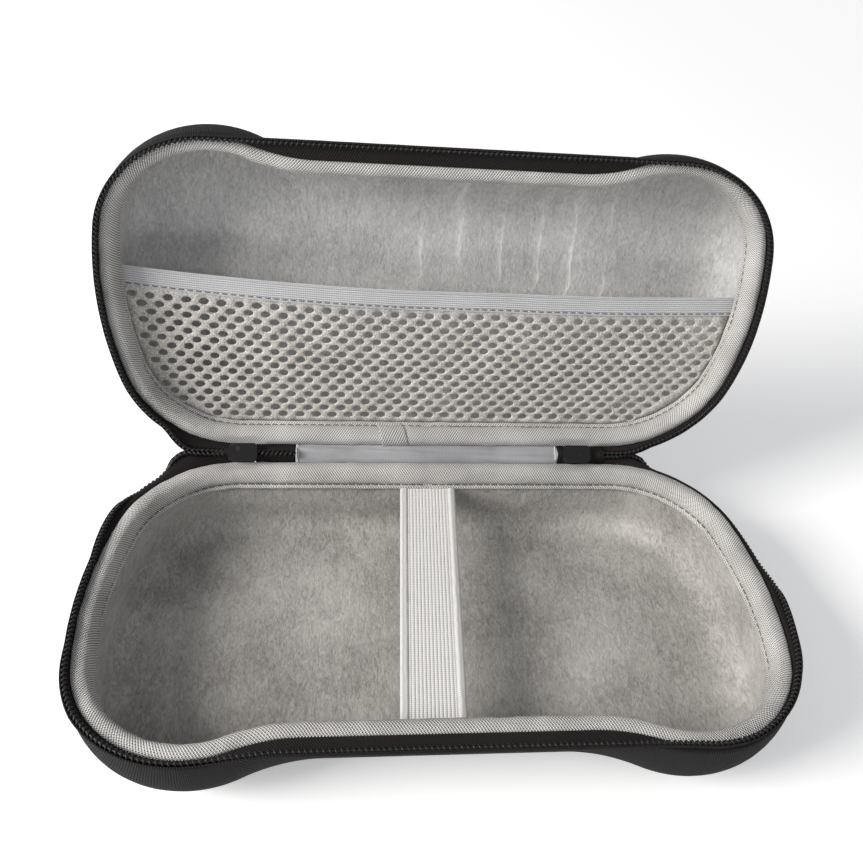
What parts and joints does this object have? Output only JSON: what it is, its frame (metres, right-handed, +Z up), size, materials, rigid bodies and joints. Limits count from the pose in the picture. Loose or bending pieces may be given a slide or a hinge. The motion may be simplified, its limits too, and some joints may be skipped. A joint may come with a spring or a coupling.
{
  "type": "portable game console case",
  "caption": "Zipped hard foam carrying case with a waisted front, hinged lid, mesh pocket and elastic strap, standing open.",
  "frame": {"origin": "centre of the base's flat underside", "axes": "+X along the hinge line, +Y from the front to the hinge, +Z up"},
  "size_m": [0.245, 0.1778, 0.1674],
  "materials": {
    "shell_cloth": "black woven nylon on moulded foam",
    "plush": "grey short-pile plush",
    "binding_cloth": "light grey plain-weave bias binding",
    "zip_tape": "black woven zip tape",
    "zip_coil": "black nylon coil",
    "strap_elastic": "off-white ribbed woven elastic",
    "liner_cloth": "light grey woven cloth",
    "pocket_mesh": "greige knitted air mesh",
    "pocket_elastic": "cool grey ribbed elastic",
    "slider_metal": "black lacquered zinc"
  },
  "bodies": {
    "base": {"base_shell": "shell_cloth", "base_lining": "plush", "base_binding": "binding_cloth", "base_zip_tape": "zip_tape", "base_zip_coil": "zip_coil", "elastic_strap": "strap_elastic", "hinge_web": "zip_tape", "hinge_liner": "liner_cloth", "left_zip_end": "zip_coil"},
    "lid": {"lid_shell": "shell_cloth", "lid_lining": "plush", "lid_binding": "binding_cloth", "lid_zip_tape": "zip_tape", "lid_zip_coil": "zip_coil", "mesh_pocket": "pocket_mesh", "pocket_elastic": "pocket_elastic"},
    "left_slider": {"left_slider": "slider_metal"},
    "right_slider": {"right_slider": "slider_metal"},
    "left_pull": {"left_pull": "slider_metal"},
    "right_pull": {"right_pull": "slider_metal"}
  },
  "joints": [
    {"name": "lid_hinge", "type": "hinge", "parent": "base", "child": "lid", "pos_m": [0, 0.06374, 0.041], "axis": [-1, 0, 0], "range_deg": [-97.8, 27.2], "deforming": ["hinge_web", "hinge_liner", "left_zip_end"]},
    {"name": "left_slider_tilt", "type": "hinge", "parent": "base", "child": "left_slider", "pos_m": [-0.0724, 0.06374, 0.041], "axis": [-1, 0, 0], "range_deg": [-48.9, 13.6]},
    {"name": "left_pull_swing", "type": "hinge", "parent": "left_slider", "child": "left_pull", "pos_m": [-0.0724, 0.06526, 0.03927], "axis": [0, 0.7536, 0.6574], "range_deg": [-70, 70]},
    {"name": "right_slider_tilt", "type": "hinge", "parent": "base", "child": "right_slider", "pos_m": [0.0594, 0.06374, 0.041], "axis": [-1, 0, 0], "range_deg": [-48.9, 13.6]},
    {"name": "right_pull_swing", "type": "hinge", "parent": "right_slider", "child": "right_pull", "pos_m": [0.0594, 0.06526, 0.03927], "axis": [0, 0.7536, 0.6574], "range_deg": [-70, 70]}
  ],
  "couplings": [
    {"joint": "left_slider_tilt", "follows": "lid_hinge", "ratio": 0.5},
    {"joint": "right_slider_tilt", "follows": "lid_hinge", "ratio": 0.5}
  ]
}
